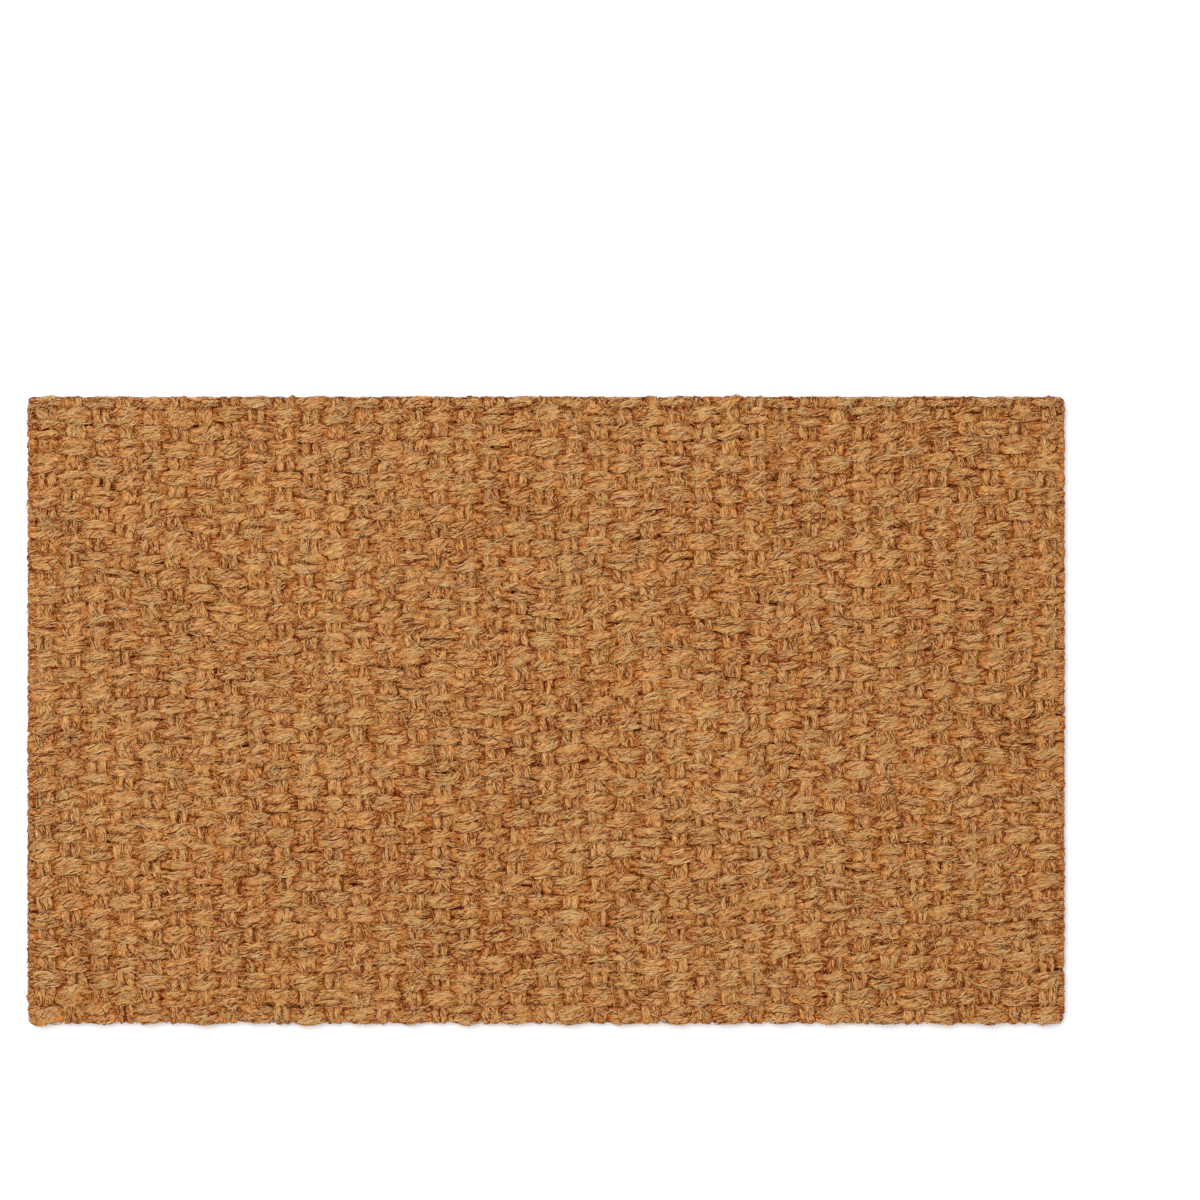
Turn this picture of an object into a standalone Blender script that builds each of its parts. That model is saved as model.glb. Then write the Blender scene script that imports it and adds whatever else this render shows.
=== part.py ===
"""A woven coir door mat on a black rubber backing, built from its separate strands.

Frame: +Z up, +X along the mat's long side, origin on the floor under the mat's centre.
Lengths are in metres. The weave is a basket weave: each warp and each weft is a pair of
yarns lying side by side, and each pair is modelled as one strand. The warps run straight
along Y at the weave's middle height. The wefts run along X and climb over one warp and
dive under the next.
"""

import math

import bmesh
import bpy

# The whole mat
MAT_LENGTH = 0.762
MAT_DEPTH = 0.460
CORNER_RADIUS = 0.002
CORNER_SEGMENTS = 3

# The layers under the weave
BACKING_THICKNESS = 0.0020
BONDING_THICKNESS = 0.0006
CLEARANCE = 0.0003

# The warps, which run along Y
WARP_COUNT = 39
WARPS_IN_GROUP = 3
OUTER_WARP_INSET = 0.0124
WARP_THICKNESS = 0.0032
WARP_WIDTH = 0.0094
WARP_CREST_WIDTH = 0.0024

# The wefts, which run along X: full pairs, then one single yarn at the back edge
WEFT_PAIR_COUNT = 38
WEFT_THICKNESS = 0.0034
WEFT_SIDE_GAP = 0.0005

# The web of backing compound that locks the cut ends of a group's warps
WEB_DEPTH = 0.0009
WEB_HEIGHT = 0.0016
WEB_INSET = 0.0001

# Worked out from the sizes above
WARP_PITCH = (MAT_LENGTH - 2 * OUTER_WARP_INSET) / (WARP_COUNT - 1)
BONDING_BOTTOM = BACKING_THICKNESS + CLEARANCE
WEAVE_BOTTOM = BONDING_BOTTOM + BONDING_THICKNESS + CLEARANCE
SEALED_EDGE = WEB_INSET + WEB_DEPTH + CLEARANCE
WEFT_PITCH = (MAT_DEPTH - 2 * SEALED_EDGE) / (WEFT_PAIR_COUNT + 0.5)
WEFT_WIDTH = WEFT_PITCH - WEFT_SIDE_GAP
SINGLE_WEFT_WIDTH = WEFT_PITCH / 2 - WEFT_SIDE_GAP
# A weft dives from its bend over one warp to its bend under the next. Its rise at the bends
# is the one that clears both the edge of a warp's crest and the warp's side.
CREST_RISE = ((WARP_THICKNESS + WEFT_THICKNESS) / 2 + CLEARANCE) / (1 - WARP_CREST_WIDTH / WARP_PITCH)
SIDE_RISE = (WEFT_THICKNESS / 2 + CLEARANCE) / (1 - WARP_WIDTH / WARP_PITCH)
WEFT_RISE = max(CREST_RISE, SIDE_RISE)
WEAVE_MIDDLE = WEAVE_BOTTOM + WEFT_RISE + WEFT_THICKNESS / 2

COIR_WEFT = (0.48, 0.235, 0.085, 1)
COIR_WARP = (0.36, 0.165, 0.058, 1)
BACKING_BLACK = (0.012, 0.012, 0.013, 1)
BONDING_BLACK = (0.020, 0.018, 0.017, 1)


def clear_scene():
    for obj in list(bpy.data.objects):
        bpy.data.objects.remove(obj)


def make_material(name, colour, roughness):
    material = bpy.data.materials.new(name)
    material.use_nodes = True
    shader = material.node_tree.nodes["Principled BSDF"]
    shader.inputs["Base Color"].default_value = colour
    shader.inputs["Roughness"].default_value = roughness
    shader.inputs["Metallic"].default_value = 0
    material.diffuse_color = colour
    return material


def object_from(name, shape, material=None):
    """A named object made from a bmesh, with its faces pointing out."""
    bmesh.ops.recalc_face_normals(shape, faces=shape.faces)
    mesh = bpy.data.meshes.new(name)
    shape.to_mesh(mesh)
    shape.free()
    obj = bpy.data.objects.new(name, mesh)
    bpy.context.scene.collection.objects.link(obj)
    if material:
        mesh.materials.append(material)
    return obj


def add_swept_section(shape, rings):
    """Skins closed sections of equal length into one capped tube. rings is a list of lists of points."""
    made = [[shape.verts.new(point) for point in ring] for ring in rings]
    for ring, following in zip(made, made[1:]):
        for side, corner in enumerate(ring):
            after = (side + 1) % len(ring)
            shape.faces.new((corner, ring[after], following[after], following[side]))
    shape.faces.new(made[0])
    shape.faces.new(made[-1])


def make_sheet(name, bottom, thickness, material):
    """A flat layer of the mat's full size, with its four upright corners rounded."""
    shape = bmesh.new()
    bmesh.ops.create_cube(shape, size=1)
    bmesh.ops.scale(shape, vec=(MAT_LENGTH, MAT_DEPTH, thickness), verts=shape.verts)
    uprights = [
        edge for edge in shape.edges
        if abs(edge.verts[0].co.z - edge.verts[1].co.z) > thickness / 2
    ]
    bmesh.ops.bevel(
        shape, geom=uprights, offset=CORNER_RADIUS, segments=CORNER_SEGMENTS,
        profile=0.5, affect="EDGES",
    )
    sheet = object_from(name, shape, material)
    sheet.location.z = bottom + thickness / 2
    return sheet


def warp_x(index):
    return (index - (WARP_COUNT - 1) / 2) * WARP_PITCH


def weft_y(row):
    return -MAT_DEPTH / 2 + SEALED_EDGE + (row + 0.5) * WEFT_PITCH


def add_warp(shape, x):
    """One straight warp: a flattened hexagon swept along Y."""
    crest, side, top = WARP_CREST_WIDTH / 2, WARP_WIDTH / 2, WARP_THICKNESS / 2
    section = (
        (-side, 0), (-crest, -top), (crest, -top),
        (side, 0), (crest, top), (-crest, top),
    )
    rings = [
        [(x + across, y, WEAVE_MIDDLE + up) for across, up in section]
        for y in (-MAT_DEPTH / 2, MAT_DEPTH / 2)
    ]
    add_swept_section(shape, rings)


def make_end_web(name, first_x, last_x, end):
    """The bar that joins a group's warps at one cut end. end is -1 at the front and 1 at the back."""
    shape = bmesh.new()
    bmesh.ops.create_cube(shape, size=1)
    size = (last_x - first_x, WEB_DEPTH, WEB_HEIGHT)
    bmesh.ops.scale(shape, vec=size, verts=shape.verts)
    web = object_from(name, shape)
    web.location = (
        (first_x + last_x) / 2,
        end * (MAT_DEPTH / 2 - WEB_INSET - WEB_DEPTH / 2),
        WEAVE_MIDDLE,
    )
    web.hide_render = True
    web.display_type = "WIRE"
    return web


def make_warp_group(number, first_warp, material):
    """Neighbouring warps, joined at both cut ends by a web of backing compound."""
    name = f"warp_group_{number:02d}"
    after_last = min(first_warp + WARPS_IN_GROUP, WARP_COUNT)
    places = [warp_x(index) for index in range(first_warp, after_last)]
    shape = bmesh.new()
    for x in places:
        add_warp(shape, x)
    group = object_from(name, shape, material)
    if len(places) == 1:
        return group
    for end, side in ((-1, "front"), (1, "back")):
        web = make_end_web(f"{name}_{side}_web", places[0], places[-1], end)
        join = group.modifiers.new(f"{side} web", "BOOLEAN")
        join.operation = "UNION"
        join.solver = "EXACT"
        join.object = web
    return group


def weft_height(x, row):
    """The height of a weft's middle: a zigzag with its bends at the warps' centres.

    The frontmost weft, row 0, passes over the leftmost warp.
    """
    phase = x / WARP_PITCH + (WARP_COUNT - 1) / 2 + row
    swing = abs(phase % 2 - 1)
    return WEAVE_MIDDLE + WEFT_RISE * (2 * swing - 1)


def make_weft(name, row, y, width, material):
    """One weft strand: a flat section swept along X, over one warp and under the next."""
    ends = [-MAT_LENGTH / 2, MAT_LENGTH / 2]
    bends = [warp_x(index) for index in range(WARP_COUNT)]
    side, top = width / 2, WEFT_THICKNESS / 2
    section = ((-side, -top), (side, -top), (side, top), (-side, top))
    rings = []
    for x in sorted(ends + bends):
        middle = weft_height(x, row)
        rings.append([(x, y + across, middle + up) for across, up in section])
    shape = bmesh.new()
    add_swept_section(shape, rings)
    return object_from(name, shape, material)


def make_wefts(material):
    for row in range(WEFT_PAIR_COUNT):
        make_weft(f"weft_{row + 1:02d}", row, weft_y(row), WEFT_WIDTH, material)
    # The cut at the back edge splits the last pair, and leaves one of its yarns.
    back_y = MAT_DEPTH / 2 - SEALED_EDGE - WEFT_PITCH / 4
    name = f"weft_{WEFT_PAIR_COUNT + 1:02d}_single"
    make_weft(name, WEFT_PAIR_COUNT, back_y, SINGLE_WEFT_WIDTH, material)


def make_warps(material):
    for number in range(math.ceil(WARP_COUNT / WARPS_IN_GROUP)):
        make_warp_group(number + 1, number * WARPS_IN_GROUP, material)


def main():
    clear_scene()
    coir_weft = make_material("coir_weft", COIR_WEFT, 0.9)
    coir_warp = make_material("coir_warp", COIR_WARP, 0.9)
    backing_black = make_material("backing_rubber", BACKING_BLACK, 0.75)
    bonding_black = make_material("bonding_coat", BONDING_BLACK, 0.6)
    make_sheet("backing_sheet", 0, BACKING_THICKNESS, backing_black)
    make_sheet("bonding_coat", BONDING_BOTTOM, BONDING_THICKNESS, bonding_black)
    make_warps(coir_warp)
    make_wefts(coir_weft)


main()
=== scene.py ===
import math

import bpy
import numpy as np
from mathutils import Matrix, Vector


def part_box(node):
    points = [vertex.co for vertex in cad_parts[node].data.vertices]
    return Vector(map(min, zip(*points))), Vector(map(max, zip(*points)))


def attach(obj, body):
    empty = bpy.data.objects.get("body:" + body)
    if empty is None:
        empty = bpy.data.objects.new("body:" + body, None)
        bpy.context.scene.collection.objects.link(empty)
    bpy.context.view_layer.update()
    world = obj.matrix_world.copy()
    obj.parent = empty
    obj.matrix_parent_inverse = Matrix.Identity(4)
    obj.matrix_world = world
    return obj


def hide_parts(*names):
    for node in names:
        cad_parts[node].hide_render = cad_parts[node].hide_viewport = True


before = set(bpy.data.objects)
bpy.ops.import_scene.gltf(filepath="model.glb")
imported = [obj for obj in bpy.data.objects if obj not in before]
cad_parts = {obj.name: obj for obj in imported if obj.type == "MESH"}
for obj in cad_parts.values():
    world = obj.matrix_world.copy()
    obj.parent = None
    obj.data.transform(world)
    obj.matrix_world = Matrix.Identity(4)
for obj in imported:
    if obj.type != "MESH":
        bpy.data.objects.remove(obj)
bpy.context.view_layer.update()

BODY = "root"
BAKE_MAP = "OFBake"
MM = 0.001
UP = np.array((0.0, 0.0, 1.0))

# One generator gives every random draw, in the order in which the pieces are made.
SEED = 20
random = np.random.default_rng(SEED)

# How the weave is counted, in pairs of yarns: warps in one CAD node, wefts in one visible piece
WARPS_IN_GROUP = 3
WEFTS_IN_PIECE = 2

# The three outermost wefts lie up to EDGE_SHIFT nearer the cut edge than their CAD strands. The
# outermost yarns keep only EDGE_CALM of their random shifts, so that the edge is cut straight.
EDGE_SHIFT = 0.9 * MM
EDGE_SHARES = np.array((1.0, 0.6, 0.3))
EDGE_CALM = 0.4

# The yarns' twist: the slant of the fibres, and the lobes of the two plies, which turn once in PLY_LAY
FIBRE_SLANT = math.radians(14)
FIBRE_SIDES = (math.radians(-25), math.radians(205))
GRAIN_SPAN = 0.5
PLY_LAY = 52 * MM
PLY_WAIST = 0.91
PLY_LOBE = 0.13
YARN_RADIUS = 2.8 * MM

# How flat a yarn's crests are next to a plain wave's, and the step its slope is measured over
CREST_FLATNESS = 0.22
SLOPE_STEP = 0.5 * MM

# The weave's slow wander across the mat
WANDER_WAVES = 8
WANDER_SIZE = 0.72 * MM
WANDER_LENGTHS = (45 * MM, 320 * MM)
WANDER_FADE = 18 * MM

# How round the mat's four corners are cut
CUT_RADIUS = 4.0 * MM

# The map of the weave's top, which the loose fibres lie on: its cells, and how many points it
# reads round each yarn
CELL = 1.0 * MM
ROUND_STEPS = 9

# The furthest that loose fibres reach past the cut edges, and the most that they lift
FUZZ_REACH = 0.9 * MM
LOOSE_LIFT = 4 * MM

# How deep into the mat the fibres go that fill its cut edges
EDGE_DEPTH = 2.4 * MM

# The shape of a single fibre: its thickness is this share of its width, its points crowd
# towards its ends, and it never turns more than MAX_SLANT radians away from its yarn
FIBRE_FLATNESS = 0.8
FIBRE_CROWDING = 0.35
MAX_SLANT = 1.2

# How unevenly a yarn's fibres sway and lift, as gamma shapes, and how full their arch is
SWAY_SHAPE, LIFT_SHAPE = 2.0, 1.6
SWAY_TURNS = 1.1
ARCH_POWER = 0.8

# The same for the loose fibres, some of which have one free end that stands up
LOOSE_LIFT_SHAPE = 1.5
LOOSE_ARCH_POWER, FREE_END_POWER = 0.7, 1.5
LOOSE_END_WIDTH = 0.6

# The bake map: how much of its cell a fibre fills, and a core's side and round ends as shares
# of its strip
MAP_FILL = 0.84
CORE_SIDE_MAP = np.array((0.94, 0.94))
CORE_END_MAP = np.array((0.025, 0.4))
CORE_FRONT_CORNER = np.array((0.96, 0.05))
CORE_REAR_CORNER = np.array((0.96, 0.5))


# ---------------------------------------------------------------- sizes from the frame

def node_names(start):
    return sorted(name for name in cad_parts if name.startswith(start))


def middle_of(node):
    low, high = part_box(node)
    return (low + high) / 2


WEFT_NODES = node_names("weft_")
WARP_NODES = node_names("warp_group_")
MAT_LOW, MAT_HIGH = (np.array(corner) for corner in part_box("backing_sheet"))
WEAVE_LOW, WEAVE_HIGH = (corner.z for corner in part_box(WEFT_NODES[0]))
WEAVE_MIDDLE = (WEAVE_LOW + WEAVE_HIGH) / 2
WEFT_PLACES = np.array([middle_of(node).y for node in WEFT_NODES])
WEFT_PITCH = float(np.diff(WEFT_PLACES)[0])
GROUP_PLACES = np.array([middle_of(node).x for node in WARP_NODES])
WARP_PITCH = float(np.diff(GROUP_PLACES)[0]) / WARPS_IN_GROUP
WARP_PLACES = np.array([
    place + step * WARP_PITCH for place in GROUP_PLACES for step in (-1, 0, 1)
])


# ---------------------------------------------------------------- noise and wander

def smooth_step(t):
    return t * t * (3 - 2 * t)


def knot_values(knots, rows, places):
    """Reads smooth noise: knots holds one random value per row and whole place."""
    low = np.clip(np.floor(places).astype(int), 0, knots.shape[1] - 2)
    share = smooth_step(np.clip(places - low, 0, 1))
    return knots[rows, low] * (1 - share) + knots[rows, low + 1] * share


def make_waves():
    """Random plane waves whose sum moves the whole weave a little, warps and wefts alike."""
    lengths = random.uniform(*WANDER_LENGTHS, WANDER_WAVES)
    turns = random.uniform(0, 2 * math.pi, WANDER_WAVES)
    starts = random.uniform(0, 2 * math.pi, (2, WANDER_WAVES))
    return 2 * math.pi / lengths * np.array((np.cos(turns), np.sin(turns))), starts


WAVES = make_waves()


def wandered(points):
    """The points moved by the weave's slow wander, which fades out towards the cut edges."""
    directions, starts = WAVES
    steps = points[..., :2] @ directions
    moved = points.copy()
    for axis in (0, 1):
        inside = MAT_HIGH[axis] - np.abs(points[..., axis])
        fade = smooth_step(np.clip(inside / WANDER_FADE, 0, 1))
        moved[..., axis] += fade * WANDER_SIZE * np.sin(steps + starts[axis]).sum(-1)
    return moved


# ---------------------------------------------------------------- one family of yarns

class Yarns:
    """The yarns that run one way. They are given along, across and up, a right-handed set.

    pieces and strands name, for each yarn, the visible piece and the pair that it belongs to.
    over_first is 0 where the even strands start on top, and 1 where the odd ones do.
    """

    def __init__(self, along, across, crossings, strands, sides, places, pieces, sizes, over_first):
        self.along, self.across = np.array(along, float), np.array(across, float)
        self.strands, self.sides = np.array(strands), np.array(sides)
        self.places, self.pieces = np.array(places), np.array(pieces)
        self.count, self.over_first, self.sizes = len(strands), over_first, sizes
        first, last = 2 * crossings[0] - crossings[1], 2 * crossings[-1] - crossings[-2]
        self.crossings = np.concatenate(([first], crossings, [last]))
        self.pitch = float(np.diff(crossings)[0])
        knots = (self.count, len(self.crossings) + 1)
        self.shifts = random.normal(0, sizes["shift_spread"], knots)
        self.rises = random.normal(0, sizes["rise_spread"], knots)
        self.fullness = 1 + random.normal(0, sizes["width_spread"], knots)
        self.tilts = random.normal(sizes["tilt"], sizes["tilt_spread"], knots)
        self.ply_starts = random.uniform(0, 2 * math.pi, self.count)
        self.grain_starts = random.uniform(0, GRAIN_SPAN, self.count)
        half = MAT_HIGH[0] if self.along[0] else MAT_HIGH[1]
        trim = random.uniform(*sizes["end_trim"], (2, self.count))
        reach = self.places + self.sides * sizes["spread_high"]
        self.outermost = (reach == reach.min()) | (reach == reach.max())
        trim += sizes["corner_trim"] * self.outermost
        self.shifts[self.outermost] *= EDGE_CALM
        self.starts, self.ends = trim[0] - half, half - trim[1]

    def crossing_number(self, s):
        return np.interp(s, self.crossings, np.arange(len(self.crossings)) - 1.0)

    def on_top(self, yarn, s):
        """1 where the yarn is at the top of its rise, -1 where it is at the bottom."""
        number = self.crossing_number(s)
        return np.cos(math.pi * (number + self.strands[yarn] + self.over_first))

    def centre(self, yarn, s):
        """Where the yarn's middle line is: its place across and its height."""
        sizes, top = self.sizes, self.on_top(yarn, s)
        number = self.crossing_number(s) + 1
        share = 0.5 + 0.5 * top
        spread = sizes["spread_low"] + (sizes["spread_high"] - sizes["spread_low"]) * share
        across = self.places[yarn] + self.sides[yarn] * spread
        across = across + knot_values(self.shifts, yarn, number)
        off_top = number - np.round(number)
        tilt = self.tilts[yarn, np.clip(np.round(number).astype(int), 0, self.tilts.shape[1] - 1)]
        across = across + tilt * self.pitch * np.sin(2 * math.pi * off_top) / (2 * math.pi)
        height = WEAVE_MIDDLE + sizes["rise"] * top * (1 + CREST_FLATNESS - CREST_FLATNESS * top * top)
        return across, height + knot_values(self.rises, yarn, number)

    def grain(self, yarn, s, angle):
        """The place along and across the grain, which winds round the yarn with its fibres."""
        start = self.grain_starts[yarn]
        return s + start, angle * YARN_RADIUS + s * math.tan(FIBRE_SLANT) + start

    def surface(self, yarn, s, angle, lift=0.0):
        """A point on the yarn, lift above its surface, and the way out of the yarn there."""
        across, height = self.centre(yarn, s)
        ahead_across, ahead = self.centre(yarn, s + SLOPE_STEP)
        steep = np.arctan2(ahead - height, SLOPE_STEP)
        drift = (ahead_across - across) / SLOPE_STEP
        share = 0.5 + 0.5 * self.on_top(yarn, s)
        sizes = self.sizes
        full = knot_values(self.fullness, yarn, self.crossing_number(s) + 1)
        wide = full * (sizes["width_low"] + (sizes["width_high"] - sizes["width_low"]) * share)
        tall = sizes["height_low"] + (sizes["height_high"] - sizes["height_low"]) * share
        turned = angle - self.ply_starts[yarn] + 2 * math.pi * s / PLY_LAY
        lobe = PLY_WAIST + PLY_LOBE * np.abs(np.cos(turned))
        out_across = (wide * lobe + lift) * np.cos(angle)
        out_up = (tall * lobe + lift) * np.sin(angle)
        s_at = s - out_up * np.sin(steep) - out_across * drift
        points = (
            s_at[..., None] * self.along
            + (across + out_across)[..., None] * self.across
            + (height + out_up * np.cos(steep))[..., None] * UP
        )
        outward = (
            np.cos(angle)[..., None] * self.across
            + np.sin(angle)[..., None] * (np.cos(steep)[..., None] * UP
                                          - np.sin(steep)[..., None] * self.along)
        )
        return wandered(points), outward


class Heights:
    """The height of the weave's top over the mat, in square cells."""

    def __init__(self, families):
        self.low = MAT_LOW[:2]
        cells = np.ceil((MAT_HIGH[:2] - self.low) / CELL).astype(int)
        self.tops = np.full(cells, WEAVE_LOW)
        for yarns in families:
            self.mark(yarns)
        for _ in (0, 1):
            self.close_gaps()

    def mark(self, yarns):
        half = yarns.ends.max()
        s = np.arange(-half, half, CELL)
        angles = np.linspace(0, math.pi, ROUND_STEPS)
        yarn, s, angle = np.meshgrid(np.arange(yarns.count), s, angles, indexing="ij")
        points, _ = yarns.surface(yarn, s, angle)
        column, row = self.cells_of(points)
        np.maximum.at(self.tops, (column, row), points[..., 2])

    def cells_of(self, points):
        cells = np.floor((points[..., :2] - self.low) / CELL).astype(int)
        return (np.clip(cells[..., axis], 0, self.tops.shape[axis] - 1) for axis in (0, 1))

    def close_gaps(self):
        """Raises each cell that is lower than both its neighbours, along x and along y."""
        for tops in (self.tops, self.tops.T):
            painted_dip_shade = np.minimum(tops[:-2], tops[2:])
            tops[1:-1] = np.maximum(tops[1:-1], painted_dip_shade)

    def at(self, points):
        column, row = self.cells_of(points)
        return self.tops[column, row]


# ---------------------------------------------------------------- meshes

def strip_cells(count, corner, size, aspect):
    """Lays count equal cells in a rectangle of the bake map, and gives their corners and size."""
    columns = max(1, round(math.sqrt(count * size[0] / size[1] * aspect)))
    rows = math.ceil(count / columns)
    cell = np.array((size[0] / columns, size[1] / rows))
    number = np.arange(count)
    corners = np.array(corner) + np.stack((number % columns, number // columns), 1) * cell
    return corners, cell * MAP_FILL


def fibre_template(points):
    """The triangles of one pointed three-sided fibre, and where each corner lies on its strip."""
    last = 1 + 3 * (points - 2)
    def ring(j, q):
        return 1 + 3 * (j - 1) + q % 3
    corners = []
    for q in range(3):
        corners += [(0, q + 0.5, 0), (ring(1, q + 1), q + 1, 1), (ring(1, q), q, 1)]
        for j in range(1, points - 2):
            a, b = (ring(j, q), q, j), (ring(j, q + 1), q + 1, j)
            c, d = (ring(j + 1, q + 1), q + 1, j + 1), (ring(j + 1, q), q, j + 1)
            corners += [a, b, c, a, c, d]
        j = points - 2
        corners += [(ring(j, q), q, j), (ring(j, q + 1), q + 1, j), (last, q + 0.5, points - 1)]
    table = np.array(corners, float)
    return table[:, 0].astype(int), table[:, 1:] / (3, points - 1), last + 1


class Parts:
    """Triangles gathered for one piece, with what the materials and the bake map need."""

    def __init__(self):
        self.places, self.corners, self.maps, self.looks, self.depths = [], [], [], [], []
        self.slots, self.count = [], 0

    def add(self, places, corners, maps, looks, depths, slot):
        self.places.append(places)
        self.corners.append(corners + self.count)
        self.maps.append(maps)
        self.looks.append(looks)
        self.depths.append(depths)
        self.slots.append(np.full(len(corners) // 3, slot))
        self.count += len(places)

    def piece(self, name, materials):
        mesh = bpy.data.meshes.new(name)
        corners = np.concatenate(self.corners)
        faces = len(corners) // 3
        mesh.vertices.add(self.count)
        mesh.vertices.foreach_set("co", np.concatenate(self.places).astype(np.float32).ravel())
        mesh.loops.add(len(corners))
        mesh.loops.foreach_set("vertex_index", corners.astype(np.int32))
        mesh.polygons.add(faces)
        mesh.polygons.foreach_set("loop_start", np.arange(0, faces * 3, 3, dtype=np.int32))
        mesh.polygons.foreach_set("material_index", np.concatenate(self.slots).astype(np.int32))
        mesh.polygons.foreach_set("use_smooth", np.ones(faces, bool))
        layer = mesh.uv_layers.new(name=BAKE_MAP)
        layer.uv.foreach_set("vector", np.concatenate(self.maps).astype(np.float32).ravel())
        looks = mesh.attributes.new("strand", "FLOAT_VECTOR", "POINT")
        looks.data.foreach_set("vector", np.concatenate(self.looks).astype(np.float32).ravel())
        depths = mesh.attributes.new("depth", "FLOAT", "POINT")
        depths.data.foreach_set("value", np.concatenate(self.depths).astype(np.float32))
        mesh.update(calc_edges=True)
        mesh.validate()
        for material in materials:
            mesh.materials.append(material)
        made = bpy.data.objects.new(name, mesh)
        bpy.context.scene.collection.objects.link(made)
        return made


def unit(vectors):
    return vectors / np.maximum(np.linalg.norm(vectors, axis=-1, keepdims=True), 1e-12)


def add_fibres(parts, lines, outward, widths, tones, depths, area, slot, grain=None):
    """Adds pointed fibres along lines, an array of fibre by point by x, y, z.

    outward is the way away from the yarn at each point, widths the fibre's width at each
    point, tones one number a fibre for its colour, depths one number a point for how much painted
    shade it gets. grain gives each point's place along and across the yarn's grain, so that fibres share
    its streaks.
    """
    count, points = lines.shape[:2]
    if not count:
        return
    corners, maps, vertices = fibre_template(points)
    travel = unit(np.gradient(lines, axis=1))
    side = unit(np.cross(travel, outward))
    out = np.cross(side, travel)
    turns = np.arange(3) * 2 * math.pi / 3
    ring = (
        lines[:, 1:-1, None]
        + 0.5 * widths[:, 1:-1, None, None] * (
            np.cos(turns)[:, None] * FIBRE_FLATNESS * out[:, 1:-1, None]
            + np.sin(turns)[:, None] * side[:, 1:-1, None]
        )
    )
    places = np.concatenate(
        (lines[:, :1], ring.reshape(count, -1, 3), lines[:, -1:]), axis=1
    )
    if grain is None:
        steps = np.linalg.norm(np.diff(lines, axis=1), axis=-1)
        along = np.concatenate((np.zeros((count, 1)), np.cumsum(steps, axis=1)), axis=1)
        along += random.uniform(0, GRAIN_SPAN, (count, 1))
        grain = along, np.repeat(random.uniform(0, GRAIN_SPAN, (count, 1)), points, 1)
    def spread_over_rings(values):
        middle = np.repeat(values[:, 1:-1], 3, axis=1)
        return np.concatenate((values[:, :1], middle, values[:, -1:]), axis=1)
    looks = np.empty((count, vertices, 3))
    looks[..., 0] = spread_over_rings(grain[0]) / MM
    looks[..., 1] = spread_over_rings(grain[1]) / MM
    looks[..., 2] = tones[:, None]
    cells, cell = strip_cells(count, *area, aspect=4.0)
    parts.add(
        places.reshape(-1, 3),
        (corners + vertices * np.arange(count)[:, None]).ravel(),
        (cells[:, None] + maps * cell).reshape(-1, 2),
        looks.reshape(-1, 3),
        spread_over_rings(depths).ravel(),
        slot,
    )


def add_core(parts, yarns, yarn, area, slot):
    """Adds the closed tube of one yarn, which the fibres lie on."""
    sizes = yarns.sizes
    rings = round((yarns.ends[yarn] - yarns.starts[yarn]) / sizes["ring_step"])
    sides = sizes["sides"]
    s = np.linspace(yarns.starts[yarn], yarns.ends[yarn], rings)
    angles = -math.pi / 2 + np.arange(sides) * 2 * math.pi / sides
    s_all, angle_all = np.meshgrid(s, angles, indexing="ij")
    lumps = random.normal(0, sizes["lump"], s_all.shape)
    which = np.full(s_all.shape, yarn)
    points, _ = yarns.surface(which, s_all, angle_all, lumps)
    ends = points[[0, -1]].mean(axis=1)
    places = np.concatenate((points.reshape(-1, 3), ends))
    j, q = (x.ravel() for x in np.meshgrid(np.arange(rings - 1), np.arange(sides), indexing="ij"))
    after = (q + 1) % sides
    a, b = j * sides + q, j * sides + after
    c, d = (j + 1) * sides + after, (j + 1) * sides + q
    corners = np.stack((a, b, c, a, c, d), axis=1)
    corner_maps = np.stack((
        np.stack((j, j, j + 1, j, j + 1, j + 1), axis=1) / (rings - 1),
        np.stack((q, q + 1, q + 1, q, q + 1, q), axis=1) / sides,
    ), axis=-1).reshape(-1, 2)
    q = np.arange(sides)
    after = (q + 1) % sides
    front = np.stack((np.full(sides, rings * sides), after, q), axis=1)
    back = (rings - 1) * sides
    rear = np.stack((np.full(sides, rings * sides + 1), back + q, back + after), axis=1)
    round_maps = 0.5 + 0.5 * np.stack((np.cos(angles), np.sin(angles)), axis=1)
    middle = np.full((sides, 2), 0.5)
    front_maps = np.stack((middle, round_maps[after], round_maps[q]), axis=1).reshape(-1, 2)
    rear_maps = np.stack((middle, round_maps[q], round_maps[after]), axis=1).reshape(-1, 2)
    corner, size = np.array(area[0]), np.array(area[1])
    side_size, end_size = CORE_SIDE_MAP * size, CORE_END_MAP * size
    maps = np.concatenate((
        corner + corner_maps * side_size,
        corner + CORE_FRONT_CORNER * size + front_maps * end_size,
        corner + CORE_REAR_CORNER * size + rear_maps * end_size,
    ))
    looks = np.empty(s_all.shape + (3,))
    grain = yarns.grain(yarn, s_all, angle_all)
    looks[..., 0] = grain[0] / MM
    looks[..., 1] = grain[1] / MM
    looks[..., 2] = sizes["core_tone"]
    looks = np.concatenate((looks.reshape(-1, 3), looks[[0, -1], 0]))
    depths = np.full(len(places), sizes["core_depth"])
    all_corners = np.concatenate((corners.ravel(), front.ravel(), rear.ravel()))
    parts.add(places, all_corners, maps, looks, depths, slot)


def fibre_shares(points):
    """Where a fibre's points lie along it, closer together at its ends."""
    t = np.linspace(0, 1, points)
    return 0.5 - 0.5 * np.cos(math.pi * t) * (1 - FIBRE_CROWDING * np.sin(math.pi * t) ** 2)


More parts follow.
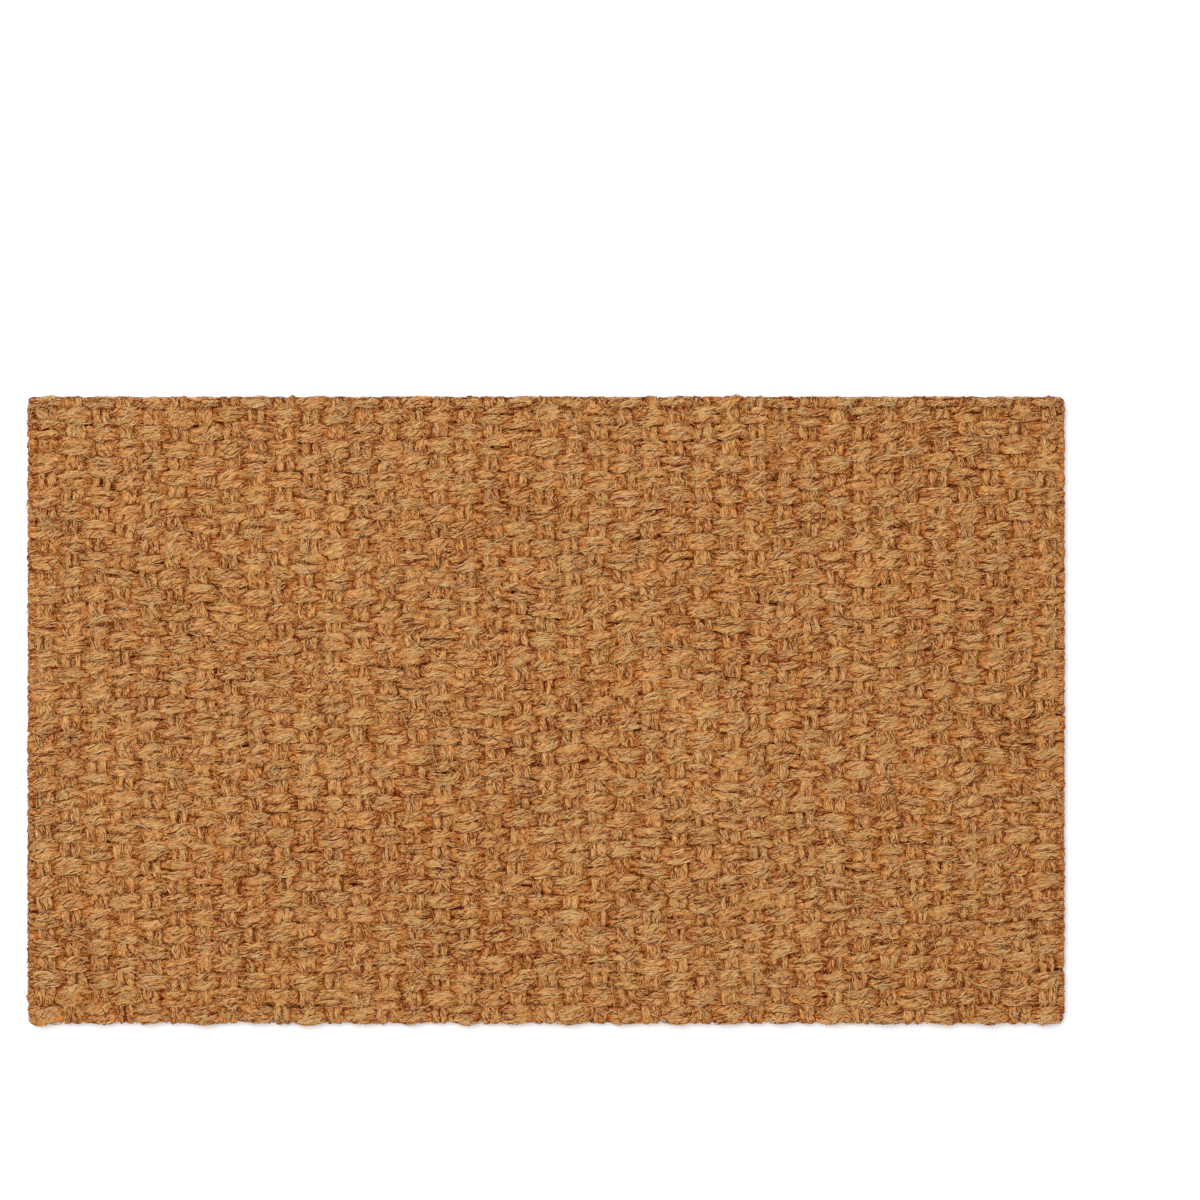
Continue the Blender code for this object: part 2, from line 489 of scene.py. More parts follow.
def float_spots(yarns, members, per_float):
    """Random spots along the floats of some yarns: each spot's yarn, and its place along it.

    The outermost yarns show their sides at the cut edge, so they get spots at every crossing,
    and more on their floats.
    """
    yarn, spots = [], []
    numbers = np.arange(-1, len(yarns.crossings) - 1)
    reach = yarns.sizes["float_reach"] * yarns.pitch
    for member in members:
        tops = numbers[(numbers + yarns.strands[member] + yarns.over_first) % 2 == 0]
        if yarns.outermost[member]:
            tops = np.concatenate((numbers, tops))
        places = np.repeat(yarns.crossings[tops + 1], per_float)
        places = places + random.uniform(-reach, reach, len(places))
        places = places[(places > yarns.starts[member]) & (places < yarns.ends[member])]
        spots.append(places)
        yarn.append(np.full(len(places), member))
    return np.concatenate(yarn), np.concatenate(spots)


def lay_fibres(parts, yarns, members, layer, area, slot):
    """Covers the floats of some yarns with one layer of fibres that follow the twist."""
    sizes = yarns.sizes
    yarn, middle = float_spots(yarns, members, layer["fibres"])
    count, points = len(yarn), layer["points"]
    t = fibre_shares(points)
    length = random.uniform(*layer["lengths"], count)
    s = middle[:, None] + (t - 0.5) * length[:, None]
    s = np.clip(s, yarns.starts[yarn][:, None], yarns.ends[yarn][:, None])
    slant = random.normal(FIBRE_SLANT, layer["slant_spread"], count)
    slant = np.clip(slant, -MAX_SLANT, MAX_SLANT)
    angle = random.uniform(*FIBRE_SIDES, count)
    angle = np.where(yarns.outermost[yarn], random.uniform(-math.pi, math.pi, count), angle)
    angle = angle[:, None] - np.tan(slant)[:, None] * (s - middle[:, None]) / YARN_RADIUS
    waves = random.uniform(0, 2 * math.pi, (2, count, 1))
    sway = random.gamma(SWAY_SHAPE, layer["sway"] / SWAY_SHAPE, (count, 1))
    angle = angle + sway * np.sin(waves[0] + 2 * math.pi * t * SWAY_TURNS)
    arch = np.sin(math.pi * t) ** ARCH_POWER
    lift = layer["rest"] + random.gamma(LIFT_SHAPE, layer["lift"] / LIFT_SHAPE, (count, 1))
    height = -sizes["dip"] + (sizes["dip"] + lift) * arch
    lines, outward = yarns.surface(np.repeat(yarn[:, None], points, 1), s, angle, height)
    widths = random.uniform(*layer["widths"], (count, 1)) * (0.5 + 0.5 * arch)
    tones = random.beta(*layer["tones"], count)
    depth = layer["depth"] + (layer["top_depth"] - layer["depth"]) * arch
    depths = depth * np.ones((count, 1))
    grain = yarns.grain(yarn[:, None], s, angle)
    add_fibres(parts, lines, outward, widths, tones, depths, area, slot, grain)


def loose_widths(layer, count, t):
    """The widths of loose fibres, which are thinner towards both ends."""
    full = random.uniform(*layer["widths"], (count, 1))
    return full * (LOOSE_END_WIDTH + (1 - LOOSE_END_WIDTH) * np.sin(math.pi * t))


def kept_near(path):
    """The points, drawn in so that none lies further than FUZZ_REACH outside the cut outline."""
    painted_dip_shade = np.clip(path, MAT_LOW[:2] + CUT_RADIUS, MAT_HIGH[:2] - CUT_RADIUS)
    reach = np.linalg.norm(path - painted_dip_shade, axis=-1, keepdims=True)
    outside = np.maximum(reach - CUT_RADIUS, 0)
    kept = reach - outside + FUZZ_REACH * np.tanh(outside / FUZZ_REACH)
    return painted_dip_shade + (path - painted_dip_shade) * kept / np.maximum(reach, 1e-9)


def lay_loose(parts, heights, band, layer, area, slot):
    """Strews loose fibres, which lie on the weave in every direction, over a band along x.

    choice is how many spots are tried for each that is kept: the lowest in the weave are.
    """
    count, points = layer["fibres"], layer["points"]
    tries = round(count * layer["choice"])
    spots = random.uniform((MAT_LOW[0], band[0]), (MAT_HIGH[0], band[1]), (tries, 2))
    spots = spots[np.argsort(heights.at(spots))[:count]]
    t = np.linspace(0, 1, points)
    curl = random.normal(0, layer["curl"], (2, count, 1))
    turn = random.uniform(0, 2 * math.pi, (2, count, 1))
    heading = turn[0] + curl[0] * (t - 0.5) * 2 + curl[1] * np.sin(2 * math.pi * t + turn[1])
    step = random.uniform(*layer["lengths"], (count, 1)) / (points - 1)
    path = np.cumsum(np.stack((step * np.cos(heading), step * np.sin(heading)), -1), axis=1)
    path = kept_near(path + (spots - path.mean(axis=1))[:, None])
    tops = heights.at(path)
    for _ in range(layer["bridging"]):
        tops[:, 1:-1] = np.maximum(tops[:, 1:-1], (tops[:, :-2] + tops[:, 2:]) / 2)
    free = random.random((count, 1)) < layer["free"]
    arch = np.where(free, t ** FREE_END_POWER, np.sin(math.pi * t) ** LOOSE_ARCH_POWER)
    lift = random.gamma(LOOSE_LIFT_SHAPE, layer["lift"] / LOOSE_LIFT_SHAPE, (count, 1))
    lift = layer["rest"] + lift
    height = tops - layer["dip"] + (layer["dip"] + np.minimum(lift, LOOSE_LIFT)) * arch
    lines = np.concatenate((path, height[..., None]), axis=-1)
    outward = np.broadcast_to(UP, lines.shape)
    widths = loose_widths(layer, count, t)
    tones = random.beta(*layer["tones"], count)
    depths = layer["depth"] + (1 - layer["depth"]) * arch
    add_fibres(parts, lines, outward, widths, tones, depths, area, slot)


def edge_spots(band, per_length):
    """Random spots just inside the cut edges next to a band along x, and which way each edge runs."""
    spots, runs = [], []
    for axis, start, end in ((1, *band), (0, MAT_LOW[0], MAT_HIGH[0])):
        for way in (-1, 1):
            other = 1 - axis
            edge = MAT_HIGH[other] * way
            if axis == 0 and not band[0] <= edge <= band[1]:
                continue
            count = round((end - start) * per_length)
            side = np.empty((count, 2))
            side[:, axis] = random.uniform(start, end, count)
            side[:, other] = edge - way * random.uniform(0, EDGE_DEPTH, count)
            spots.append(np.clip(side, MAT_LOW[:2], MAT_HIGH[:2]))
            runs.append(np.full((count, 1), axis * math.pi / 2))
    return np.concatenate(spots), np.concatenate(runs)


def fill_edges(parts, heights, band, layer, area, slot):
    """Adds short fibres that run along the cut edges, from the backing up to the weave's top."""
    points = layer["points"]
    spots, runs = edge_spots(band, layer["per_length"])
    count = len(spots)
    t = np.linspace(0, 1, points)
    heading = runs + random.normal(0, layer["heading"], (count, 1))
    heading = heading + random.normal(0, layer["curl"], (count, 1)) * (t - 0.5) * 2
    step = random.uniform(*layer["lengths"], (count, 1)) / (points - 1)
    path = np.cumsum(np.stack((step * np.cos(heading), step * np.sin(heading)), -1), axis=1)
    path = kept_near(path + (spots - path.mean(axis=1))[:, None])
    share = random.uniform(0, 1, (count, 1)) + random.normal(0, layer["ripple"], (count, points))
    top = np.maximum(heights.at(path), WEAVE_MIDDLE)
    height = WEAVE_LOW + np.clip(share, 0, 1) * (top - WEAVE_LOW)
    lines = np.concatenate((path, height[..., None]), axis=-1)
    widths = loose_widths(layer, count, t)
    tones = random.beta(*layer["tones"], count)
    depths = np.full((count, points), layer["depth"])
    outward = np.broadcast_to(UP, lines.shape)
    add_fibres(parts, lines, outward, widths, tones, depths, area, slot)


def fray_ends(parts, yarns, members, area, slot):
    """Adds the short cut fibres that stand out of both ends of some yarns."""
    sizes = yarns.sizes
    count = sizes["end_fibres"]
    yarn = np.repeat(members, 2 * count)
    way = np.tile(np.repeat((-1.0, 1.0), count), len(members))
    total = len(yarn)
    at = np.where(way < 0, yarns.starts[yarn], yarns.ends[yarn])
    angle = random.uniform(0, 2 * math.pi, total)
    inside = np.sqrt(random.random(total)) * YARN_RADIUS
    reach = random.uniform(*sizes["end_reach"], total)
    splay = random.uniform(*FRAY["splay"], total)
    t = np.array(FRAY["shares"])
    root = FRAY["root"]
    s = at[:, None] + way[:, None] * (-root + (root + reach[:, None]) * t)
    lift = (inside - YARN_RADIUS - FRAY["sunk"])[:, None] + splay[:, None] * t ** 2
    turn = angle[:, None] + random.normal(0, FRAY["turn"], (total, 1)) * t
    clipped = np.clip(s, yarns.starts[yarn][:, None], yarns.ends[yarn][:, None])
    lines, outward = yarns.surface(np.repeat(yarn[:, None], len(t), 1), clipped, turn, lift)
    lines = lines + (s - clipped)[..., None] * yarns.along
    widths = random.uniform(*FRAY["widths"], (total, 1)) * np.ones(len(t))
    tones = random.beta(*FRAY["tones"], total)
    depths = np.full(s.shape, FRAY["depth"])
    add_fibres(parts, lines, outward, widths, tones, depths, area, slot)


# ---------------------------------------------------------------- materials

# Coir from its darkest, reddest fibres to its palest
COIR_STOPS = (
    (0.00, (0.140, 0.012, 0.001)),
    (0.25, (0.335, 0.090, 0.018)),
    (0.50, (0.500, 0.246, 0.077)),
    (0.75, (0.636, 0.396, 0.152)),
    (1.00, (0.735, 0.528, 0.256)),
)

# Painted shade: what the colour is multiplied by where a fibre dips into its yarn, where its depth is 0.
# The depth attribute sets how much of it each point gets, none at 1; cores, frayed ends and loose fibres
# have fixed depths
COIR_SHADE = (0.54, 0.17, 0.045)
WHITE = (1.0, 1.0, 1.0)

# Painted shade by height: coir's colour is multiplied by these stops at the weave's middle height
# and below (0), and from there up to the height given next (1). It paints the shade deep in the
# weave, so coir is darker and redder low down, and it dims the crests a little
PAINTED_SHADE_HEIGHT = 5.4 * MM
PAINTED_SHADE_STOPS = (
    (0.00, (1.00, 0.67, 0.38)),
    (0.65, (0.97, 0.88, 0.77)),
    (1.00, (0.89, 0.88, 0.86)),
)

# How fast the streaks change per millimetre along the grain and across it, and with the tone
STREAK_SCALE = (0.10, 0.62, 3.0)
FINE_SCALE = (0.30, 1.05, 40.0)

# How much each part adds to a spot's place along COIR_STOPS, and what is taken off the sum
TONE_SHARE, STREAK_SHARE, FINE_SHARE, PATCH_SHARE = 1.50, 0.90, 1.60, 0.26
# The warps are the same coir as the wefts; their smaller drop is painted light, a lighter copy that
# balances the lower warps against the floats
WEFT_DROP, WARP_DROP = 1.66, 1.62
PATCH_SCALE = 14.0

# How rough and how bumpy the yarns' cores and the fibres are
CORE_ROUGHNESS, CORE_BUMP = 0.55, 0.5 * MM
FIBRE_ROUGHNESS, FIBRE_BUMP = 0.45, 0.12 * MM
BUMP_STRENGTH = 0.7
COIR_ROUGHNESS_SPREAD = 0.3
COIR_SPECULAR = 0.05

RUBBER_LOOKS = dict(
    colour=(0.012, 0.012, 0.013), dusted=(0.03, 0.027, 0.024), roughness=0.6, dust_scale=60.0,
)
BONDING_LOOKS = dict(
    colour=(0.06, 0.022, 0.007), dusted=(0.18, 0.070, 0.019), roughness=0.7, dust_scale=260.0,
)
DUST_START, DUST_FULL = 0.30, 0.62
RUBBER_GRAIN_SCALE = 1500.0
RUBBER_BUMP, RUBBER_BUMP_STRENGTH = 0.15 * MM, 0.5
RUBBER_ROUGHNESS_SPREAD = 0.25
RUBBER_SPECULAR = 0.25


def new_material(name):
    material = bpy.data.materials.new(name)
    material.use_nodes = True
    nodes = material.node_tree.nodes
    return material, nodes, material.node_tree.links, nodes["Principled BSDF"]


def maths(nodes, links, operation, first, second):
    node = nodes.new("ShaderNodeMath")
    node.operation = operation
    for socket, value in zip(node.inputs, (first, second)):
        if isinstance(value, (int, float)):
            socket.default_value = value
        else:
            links.new(value, socket)
    return node.outputs[0]


def noise(nodes, links, vector, scale, detail, roughness=0.55):
    node = nodes.new("ShaderNodeTexNoise")
    node.inputs["Scale"].default_value = scale
    node.inputs["Detail"].default_value = detail
    node.inputs["Roughness"].default_value = roughness
    links.new(vector, node.inputs["Vector"])
    return node.outputs["Fac"]


def scaled(nodes, links, vector, factors):
    node = nodes.new("ShaderNodeVectorMath")
    node.operation = "MULTIPLY"
    node.inputs[1].default_value = factors
    links.new(vector, node.inputs[0])
    return node.outputs[0]


def attribute(nodes, name, output):
    node = nodes.new("ShaderNodeAttribute")
    node.attribute_name = name
    return node.outputs[output]


def ramp(nodes, links, factor, stops):
    node = nodes.new("ShaderNodeValToRGB")
    points = node.color_ramp.elements
    for spare in list(points)[1:]:
        points.remove(spare)
    points[0].position, points[0].color = stops[0][0], (*stops[0][1], 1)
    for position, colour in stops[1:]:
        points.new(position).color = (*colour, 1)
    links.new(factor, node.inputs["Fac"])
    return node.outputs["Color"]


def shaded(nodes, links, colour, shade):
    """The colour multiplied by the shade."""
    mix = nodes.new("ShaderNodeMix")
    mix.data_type, mix.blend_type = "RGBA", "MULTIPLY"
    mix.inputs[0].default_value = 1.0
    links.new(colour, mix.inputs["A"])
    links.new(shade, mix.inputs["B"])
    return mix.outputs["Result"]


def coir_material(name, drop, roughness, bump):
    """Coir: each fibre has its own tone, streaks run along the grain, and soft patches vary."""
    material, nodes, links, shader = new_material(name)
    strand = attribute(nodes, "strand", "Vector")
    depth = attribute(nodes, "depth", "Fac")
    tone = nodes.new("ShaderNodeSeparateXYZ")
    links.new(strand, tone.inputs[0])
    streak = scaled(nodes, links, strand, STREAK_SCALE)
    streak = noise(nodes, links, streak, scale=1.0, detail=2.0)
    fine = scaled(nodes, links, strand, FINE_SCALE)
    fine = noise(nodes, links, fine, scale=1.0, detail=2.0)
    place = nodes.new("ShaderNodeTexCoord").outputs["Object"]
    patch = noise(nodes, links, place, PATCH_SCALE, detail=2.0)
    mixed = maths(nodes, links, "MULTIPLY", tone.outputs[2], TONE_SHARE)
    mixed = maths(nodes, links, "SUBTRACT", mixed, drop)
    for part, share in ((streak, STREAK_SHARE), (fine, FINE_SHARE), (patch, PATCH_SHARE)):
        mixed = maths(nodes, links, "ADD", mixed, maths(nodes, links, "MULTIPLY", part, share))
    colour = ramp(nodes, links, mixed, COIR_STOPS)
    # painted shade where fibres dip into their yarn and on the cores, set by the depth attribute
    painted_dip_shade = ramp(nodes, links, depth, ((0.0, COIR_SHADE), (1.0, WHITE)))
    colour = shaded(nodes, links, colour, painted_dip_shade)
    # painted shade by height: coir is darker and redder low in the weave, and a little dimmer on the
    # crests
    height = nodes.new("ShaderNodeSeparateXYZ")
    links.new(place, height.inputs[0])
    height = maths(nodes, links, "SUBTRACT", height.outputs[2], WEAVE_MIDDLE)
    height = maths(nodes, links, "DIVIDE", height, PAINTED_SHADE_HEIGHT)
    painted_height_shade = ramp(nodes, links, height, PAINTED_SHADE_STOPS)
    links.new(shaded(nodes, links, colour, painted_height_shade), shader.inputs["Base Color"])
    rough = maths(nodes, links, "MULTIPLY", fine, COIR_ROUGHNESS_SPREAD)
    rough = maths(nodes, links, "ADD", rough, roughness)
    links.new(rough, shader.inputs["Roughness"])
    raised = nodes.new("ShaderNodeBump")
    raised.inputs["Strength"].default_value = BUMP_STRENGTH
    raised.inputs["Distance"].default_value = bump
    links.new(maths(nodes, links, "ADD", streak, fine), raised.inputs["Height"])
    links.new(raised.outputs[0], shader.inputs["Normal"])
    shader.inputs["Specular IOR Level"].default_value = COIR_SPECULAR
    return material


def rubber_material(name, colour, dusted, roughness, dust_scale):
    """Matt black rubber with a fine grain and patches of dust."""
    material, nodes, links, shader = new_material(name)
    place = nodes.new("ShaderNodeTexCoord").outputs["Object"]
    dust = noise(nodes, links, place, dust_scale, detail=4.0)
    grain = noise(nodes, links, place, RUBBER_GRAIN_SCALE, detail=2.0)
    stops = ((DUST_START, colour), (DUST_FULL, dusted))
    links.new(ramp(nodes, links, dust, stops), shader.inputs["Base Color"])
    rough = maths(nodes, links, "MULTIPLY", dust, RUBBER_ROUGHNESS_SPREAD)
    rough = maths(nodes, links, "ADD", rough, roughness)
    links.new(rough, shader.inputs["Roughness"])
    raised = nodes.new("ShaderNodeBump")
    raised.inputs["Strength"].default_value = RUBBER_BUMP_STRENGTH
    raised.inputs["Distance"].default_value = RUBBER_BUMP
    links.new(grain, raised.inputs["Height"])
    links.new(raised.outputs[0], shader.inputs["Normal"])
    shader.inputs["Specular IOR Level"].default_value = RUBBER_SPECULAR
    return material


# ---------------------------------------------------------------- the two layers below the weave

CUT_INSET = 0.35 * MM
CUT_WANDER = 0.18 * MM
LAYER_STEP = 6.0 * MM
CORNER_LINES = np.array((0.35, 0.7, 1.0))
SHARP_ANGLE = math.radians(40)
BONDING_RISE = 0.25 * MM


def grid_lines(half):
    """Where a layer's grid lines lie from -half to half, closer together in its corners."""
    painted_dip_shade = half - CUT_RADIUS
    count = round(2 * painted_dip_shade / LAYER_STEP) + 1
    corner = CUT_RADIUS * CORNER_LINES
    return np.concatenate((-painted_dip_shade - corner[::-1], np.linspace(-painted_dip_shade, painted_dip_shade, count), painted_dip_shade + corner))


def rounded_corners(points, half):
    """Moves the points in the four corner squares so that the outline turns on an arc there."""
    start = half - CUT_RADIUS
    local = (np.abs(points) - start) / CUT_RADIUS
    corner = (local > 0).all(axis=-1)
    u, v = local[corner].T
    arc = np.stack((u * np.sqrt(1 - v * v / 2), v * np.sqrt(1 - u * u / 2)), axis=1)
    moved = points.copy()
    moved[corner] = np.sign(points[corner]) * (start + CUT_RADIUS * arc)
    return moved


def make_layer(name, node, relief, material):
    """A thin closed layer that fills its CAD node. relief gives how far its top moves up."""
    low, high = (np.array(corner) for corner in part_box(node))
    half = high[:2] - CUT_INSET
    x, y = (grid_lines(half[axis]) for axis in (0, 1))
    flat = np.stack(np.meshgrid(x, y, indexing="ij"), axis=-1)
    columns, rows = flat.shape[:2]
    points = rounded_corners(flat, half)
    edge = np.zeros((columns, rows), bool)
    edge[[0, -1]] = True
    edge[:, [0, -1]] = True
    points[edge] += random.normal(0, CUT_WANDER, (edge.sum(), 2))
    top = np.concatenate((points, np.full((columns, rows, 1), high[2])), axis=-1)
    bottom = np.concatenate((points, np.full((columns, rows, 1), low[2])), axis=-1)
    top[..., 2] += relief(points)
    number = np.arange(columns * rows).reshape(columns, rows)
    quads = np.stack((number[:-1, :-1], number[1:, :-1], number[1:, 1:], number[:-1, 1:]), -1)
    quads = quads.reshape(-1, 4)
    rim = np.concatenate((number[:-1, 0], number[-1, :-1], number[:0:-1, -1], number[0, :0:-1]))
    after = np.roll(rim, -1)
    total = columns * rows
    wall = np.stack((rim + total, after + total, after, rim), axis=1)
    faces = np.concatenate((quads, quads[:, ::-1] + total, wall))
    mesh = bpy.data.meshes.new(name)
    vertices = np.concatenate((top.reshape(-1, 3), bottom.reshape(-1, 3)))
    mesh.from_pydata(vertices.tolist(), [], faces.tolist())
    mesh.shade_smooth()
    mesh.set_sharp_from_angle(angle=SHARP_ANGLE)
    mesh.materials.append(material)
    layer = bpy.data.objects.new(name, mesh)
    bpy.context.scene.collection.objects.link(layer)
    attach(layer, BODY)
    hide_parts(node)
    return layer


def bonding_relief(points):
    """The coat stands up a little between the yarns that were pressed into it."""
    up = 0.5 + 0.5 * np.cos(2 * math.pi * points[..., 0] / WARP_PITCH)
    across = 0.5 + 0.5 * np.cos(2 * math.pi * points[..., 1] / WEFT_PITCH)
    return BONDING_RISE * up * across


def flat_relief(points):
    return np.zeros(points.shape[:-1])


# ---------------------------------------------------------------- the weave

WEFT_UNDER = dict(
    fibres=20, points=6, lengths=(9 * MM, 20 * MM), widths=(0.60 * MM, 1.05 * MM),
    slant_spread=math.radians(11), sway=0.26, rest=0.05 * MM, lift=0.25 * MM, tones=(1.5, 1.0),
    depth=0.25, top_depth=0.95,
)
WEFT_UPPER = dict(
    fibres=25, points=6, lengths=(4 * MM, 12 * MM), widths=(0.42 * MM, 0.84 * MM),
    slant_spread=math.radians(19), sway=0.42, rest=0.24 * MM, lift=0.36 * MM, tones=(0.65, 0.5),
    depth=0.20, top_depth=1.0,
)
WEFT_SIZES = dict(
    rise=2.95 * MM, spread_high=3.3 * MM, spread_low=2.3 * MM,
    width_high=3.5 * MM, width_low=2.6 * MM, height_high=2.45 * MM, height_low=2.1 * MM,
    shift_spread=0.72 * MM, rise_spread=0.50 * MM, width_spread=0.13, tilt=0.08, tilt_spread=0.14,
    end_trim=(-0.3 * MM, 0.5 * MM), corner_trim=2.4 * MM,
    ring_step=2.6 * MM, sides=8, lump=0.16 * MM, core_depth=0.70, core_tone=0.60, dip=0.45 * MM,
    under=WEFT_UNDER, upper=WEFT_UPPER, float_reach=0.68,
    end_fibres=20, end_reach=(-0.4 * MM, 1.0 * MM),
)
WARP_SIZES = dict(
    WEFT_SIZES,
    rise=1.55 * MM, spread_high=3.2 * MM, spread_low=2.5 * MM,
    width_high=3.2 * MM, width_low=2.5 * MM, height_high=2.25 * MM, height_low=2.1 * MM,
    tilt=0.0, float_reach=0.62,
    under=dict(WEFT_UNDER, fibres=10, points=5, lengths=(6 * MM, 14 * MM)),
    upper=dict(WEFT_UPPER, fibres=17, points=5, lengths=(4 * MM, 10 * MM)),
    end_trim=(-0.2 * MM, 0.6 * MM),
)

# The cut fibres at the yarns' ends: shares are where a fibre's points lie along it
FRAY = dict(
    root=3 * MM, shares=(0.0, 0.5, 0.8, 1.0), splay=(0.1 * MM, 0.9 * MM), sunk=0.2 * MM, turn=0.25,
    widths=(0.4 * MM, 0.8 * MM), tones=(2.2, 2.2), depth=0.8,
)

# Loose fibres over each visible weft piece: short curled frizz, and a few long pale hairs
FRIZZ = dict(
    fibres=2400, choice=1.5, points=5, lengths=(3 * MM, 9 * MM), widths=(0.36 * MM, 0.68 * MM),
    curl=1.0, rest=0.10 * MM, lift=0.50 * MM, dip=0.5 * MM, bridging=0, free=0.25, tones=(0.65, 0.75),
    depth=0.40,
)
HAIRS = dict(
    fibres=26, choice=1, points=11, lengths=(12 * MM, 38 * MM), widths=(0.42 * MM, 0.62 * MM), curl=0.45,
    rest=0.5 * MM, lift=1.2 * MM, dip=0.4 * MM, bridging=3, free=0.4, tones=(14, 1), depth=0.8,
)

# Short fibres that fill the cut edges: per_length is how many there are to a metre of edge
EDGE_FUZZ = dict(
    per_length=3100, points=4, lengths=(3 * MM, 9 * MM), widths=(0.35 * MM, 0.70 * MM), curl=0.5,
    heading=0.6, ripple=0.05, tones=(1.0, 0.9), depth=0.6,
)

# Each kind of part has its own band of the bake map, given as its corner and its size. The
# cores' band starts at the bottom and is shared out between the yarns.
CORE_BAND, CELL_FILL = 0.26, 0.94
UNDER_BAND = (0.0, 0.26), (1.0, 0.30)
UPPER_BAND = (0.0, 0.56), (1.0, 0.24)
FRAY_BAND = (0.0, 0.80), (1.0, 0.04)
FRIZZ_BAND = (0.0, 0.84), (1.0, 0.12)
HAIR_BAND = (0.0, 0.96), (1.0, 0.01)
EDGE_BAND = (0.0, 0.97), (1.0, 0.03)

# The material slots of a visible piece of yarns
CORE, FIBRE = 0, 1


def weft_family():
    last = len(WEFT_NODES) - 1
    rows = [row for row in range(last) for _ in (0, 1)] + [last]
    sides = [side for _ in range(last) for side in (-1, 1)] + [0]
    places = WEFT_PLACES.copy()
    outer = len(EDGE_SHARES)
    places[:outer] -= EDGE_SHIFT * EDGE_SHARES
    places[-outer:] += EDGE_SHIFT * EDGE_SHARES[::-1]
    pieces = [row // WEFTS_IN_PIECE for row in rows]
    return Yarns((1, 0, 0), (0, 1, 0), WARP_PLACES, rows, sides, places[rows], pieces, WEFT_SIZES, 0)


def warp_family():
    columns = [column for column in range(len(WARP_PLACES)) for _ in (0, 1)]
    sides = [side for _ in range(len(WARP_PLACES)) for side in (-1, 1)]
    groups = [column // WARPS_IN_GROUP for column in columns]
    places = -WARP_PLACES[columns]
    return Yarns((0, 1, 0), (-1, 0, 0), WEFT_PLACES, columns, sides, places, groups, WARP_SIZES, 1)


def make_piece(yarns, number, name, nodes, materials, heights=None):
    """One visible piece: its yarns, and where heights are given also the loose fibres on it."""
    parts = Parts()
    members = np.flatnonzero(yarns.pieces == number)
    share = CORE_BAND / len(members)
    for place, member in enumerate(members):
        add_core(parts, yarns, member, ((0.0, place * share), (1.0, share * CELL_FILL)), CORE)
    lay_fibres(parts, yarns, members, yarns.sizes["under"], UNDER_BAND, FIBRE)
    lay_fibres(parts, yarns, members, yarns.sizes["upper"], UPPER_BAND, FIBRE)
    fray_ends(parts, yarns, members, FRAY_BAND, FIBRE)
    if heights:
        half = WEFT_PITCH / 2
        places = yarns.places[members]
        band = places.min() - half, places.max() + half
        lay_loose(parts, heights, band, FRIZZ, FRIZZ_BAND, FIBRE)
        lay_loose(parts, heights, band, HAIRS, HAIR_BAND, FIBRE)
        fill_edges(parts, heights, band, EDGE_FUZZ, EDGE_BAND, FIBRE)
    made = parts.piece(name, materials)
    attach(made, BODY)
    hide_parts(*nodes)
    return made


def make_weave(weft_materials, warp_materials):
    wefts, warps = weft_family(), warp_family()
    heights = Heights((wefts, warps))
    made = []
    for piece in range(math.ceil(len(WEFT_NODES) / WEFTS_IN_PIECE)):
        first = piece * WEFTS_IN_PIECE
        nodes = WEFT_NODES[first:first + WEFTS_IN_PIECE]
        numbers = "_".join(str(first + step + 1).zfill(2) for step in range(len(nodes)))
        name = f"weft_{numbers}_yarns"
        made.append(make_piece(wefts, piece, name, nodes, weft_materials, heights))
    for group, node in enumerate(WARP_NODES):
        made.append(make_piece(warps, group, f"{node}_yarns", (node,), warp_materials))
    return made


# ---------------------------------------------------------------- stage, light and camera

CAMERA_LENS = 100
SENSOR = 36
FRAME_WIDTH = 0.8818
CAMERA_OFFSET = (0.0397, 0.0813)
FLOOR_HALF = 4.0
FLOOR_GREY = 0.9
FLOOR_ROUGHNESS = 0.9
SKY_STRENGTH = 0.75
SOFTBOX = dict(place=(-0.35, 0.45, 2.5), size=1.5, power=52)


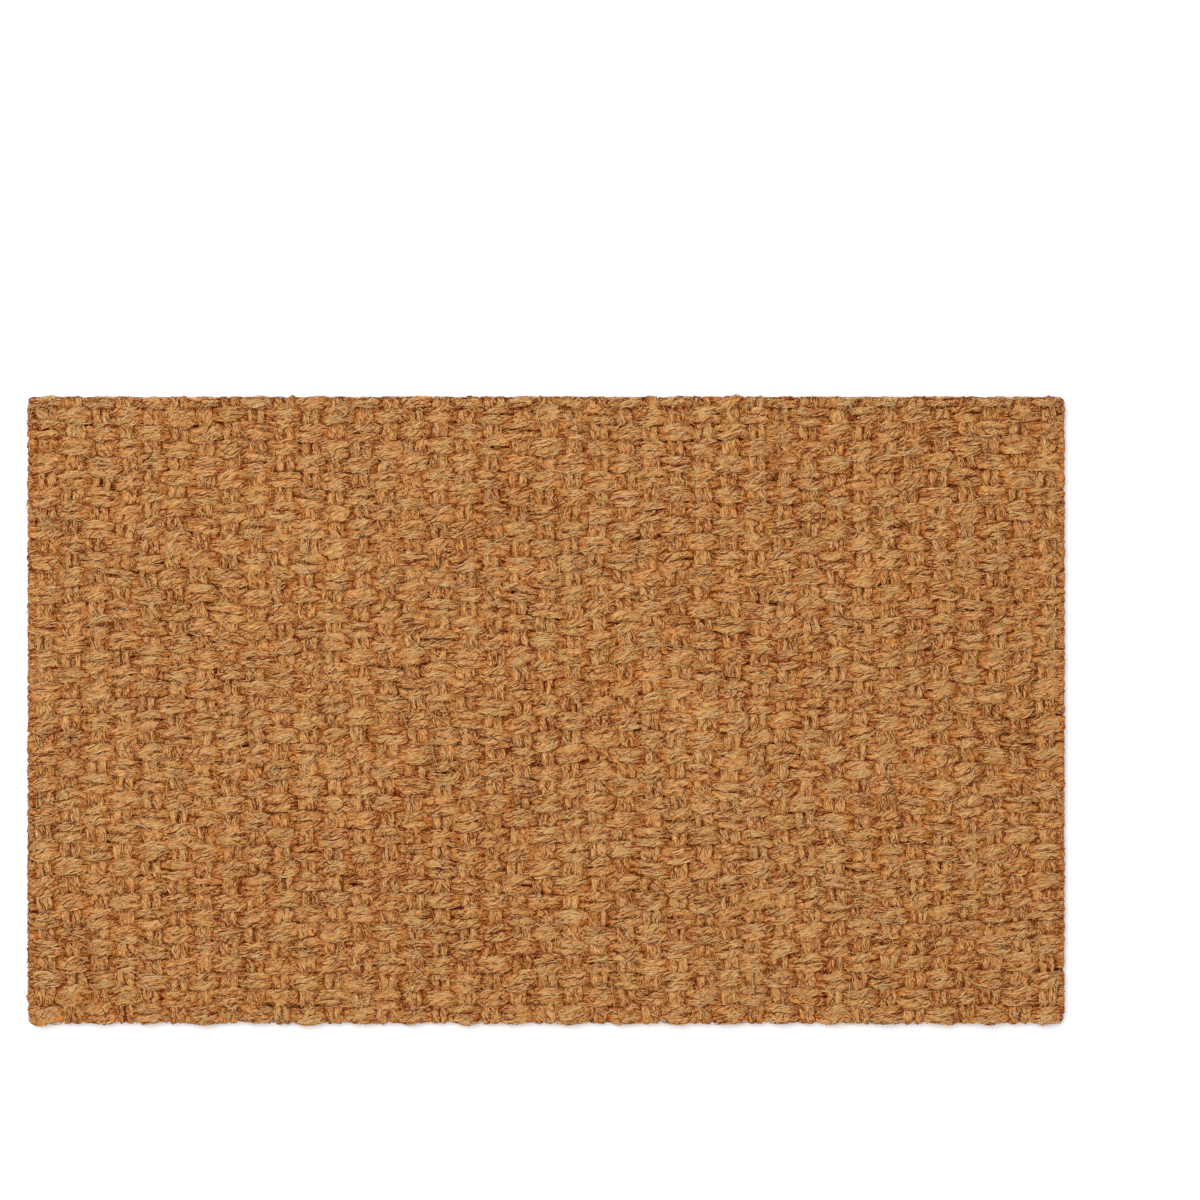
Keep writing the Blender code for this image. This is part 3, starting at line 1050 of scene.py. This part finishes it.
def make_stage():
    corners = [(x * FLOOR_HALF, y * FLOOR_HALF, 0) for x, y in ((-1, -1), (1, -1), (1, 1), (-1, 1))]
    mesh = bpy.data.meshes.new("floor")
    mesh.from_pydata(corners, [], [(0, 1, 2, 3)])
    floor = bpy.data.objects.new("floor", mesh)
    bpy.context.scene.collection.objects.link(floor)
    material, _, _, shader = new_material("floor_paper")
    shader.inputs["Base Color"].default_value = (FLOOR_GREY, FLOOR_GREY, FLOOR_GREY, 1)
    shader.inputs["Roughness"].default_value = FLOOR_ROUGHNESS
    mesh.materials.append(material)
    return floor


def make_lights():
    world = bpy.data.worlds.new("studio")
    world.use_nodes = True
    sky = world.node_tree.nodes["Background"]
    sky.inputs["Color"].default_value = (1, 1, 1, 1)
    sky.inputs["Strength"].default_value = SKY_STRENGTH
    bpy.context.scene.world = world
    light = bpy.data.lights.new("softbox", "AREA")
    light.shape = "SQUARE"
    light.size = SOFTBOX["size"]
    light.energy = SOFTBOX["power"]
    lamp = bpy.data.objects.new("softbox", light)
    lamp.location = SOFTBOX["place"]
    bpy.context.scene.collection.objects.link(lamp)
    lamp.rotation_euler = (-lamp.location).to_track_quat("-Z", "Y").to_euler()


def make_camera():
    camera = bpy.data.objects.new("camera", bpy.data.cameras.new("camera"))
    camera.data.lens = CAMERA_LENS
    camera.data.sensor_width = SENSOR
    height = WEAVE_HIGH + FRAME_WIDTH * CAMERA_LENS / SENSOR
    camera.location = (*CAMERA_OFFSET, height)
    bpy.context.scene.collection.objects.link(camera)
    bpy.context.scene.camera = camera


def main():
    # the warp materials are a lighter copy of the weft ones, which is painted light
    weft, warp = (
        (coir_material(f"coir_{family}_core", drop, CORE_ROUGHNESS, CORE_BUMP),
         coir_material(f"coir_{family}_fibres", drop, FIBRE_ROUGHNESS, FIBRE_BUMP))
        for family, drop in (("weft", WEFT_DROP), ("warp", WARP_DROP))
    )
    rubber = rubber_material("backing_rubber_looks", **RUBBER_LOOKS)
    bonding = rubber_material("bonding_coat_looks", **BONDING_LOOKS)
    weave = make_weave(weft, warp)
    coat = make_layer("bonding_coat_layer", "bonding_coat", bonding_relief, bonding)
    backing = make_layer("backing_sheet_layer", "backing_sheet", flat_relief, rubber)
    floor = make_stage()
    make_lights()
    make_camera()
    bpy.context.scene.view_settings.view_transform = "Standard"


main()
